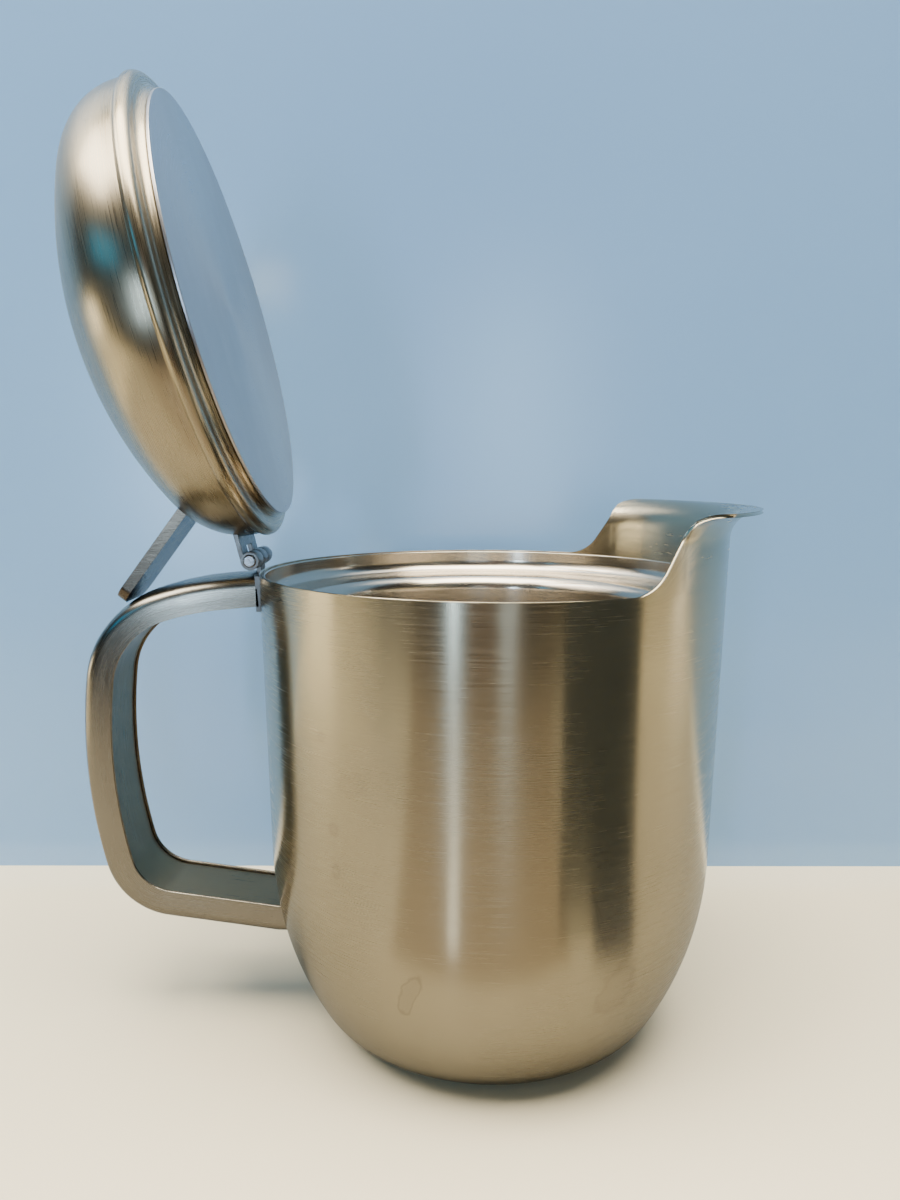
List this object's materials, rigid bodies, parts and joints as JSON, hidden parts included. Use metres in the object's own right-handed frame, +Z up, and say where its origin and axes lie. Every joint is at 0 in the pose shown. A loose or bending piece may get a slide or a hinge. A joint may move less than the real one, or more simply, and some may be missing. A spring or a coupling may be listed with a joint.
{
  "type": "lidded pouring jug",
  "caption": "Brushed steel pouring jug with a rounded base, flared spout collar, loop handle and a hinged domed lid with a thumb lever, standing open.",
  "frame": {"origin": "centre of the flat base, on the surface the jug stands on", "axes": "+Z up along the body's axis, +X from the handle and hinge towards the spout, hinge pin along Y"},
  "size_m": [0.1453, 0.1, 0.2008],
  "materials": {
    "shell_steel": "brushed round the body, satin",
    "liner_steel": "satin",
    "base_steel": "satin",
    "handle_steel": "brushed lengthways",
    "lid_steel": "brushed in circles, satin",
    "disc_steel": "fine satin",
    "hinge_steel": "plain",
    "pin_steel": "turned bright",
    "seal_braze": "dull",
    "getter_metal": "dull grey"
  },
  "bodies": {
    "body": {"outer_shell": "shell_steel", "inner_vessel": "liner_steel", "base_disc": "base_steel", "vacuum_seal": "seal_braze", "getter": "getter_metal", "handle_channel": "handle_steel", "handle_strip": "handle_steel", "handle_upper_foot": "hinge_steel", "handle_lower_foot": "hinge_steel", "hinge_bracket": "hinge_steel", "hinge_pin": "pin_steel"},
    "lid": {"lid_dome": "lid_steel", "lid_pan": "lid_steel", "lid_disc": "disc_steel", "hinge_strap": "hinge_steel", "thumb_lever": "lid_steel"}
  },
  "joints": [
    {"name": "lid_hinge", "type": "hinge", "parent": "body", "child": "lid", "pos_m": [-0.0513, 0, 0.1042], "axis": [0, 1, 0], "range_deg": [0, 103.6]}
  ]
}
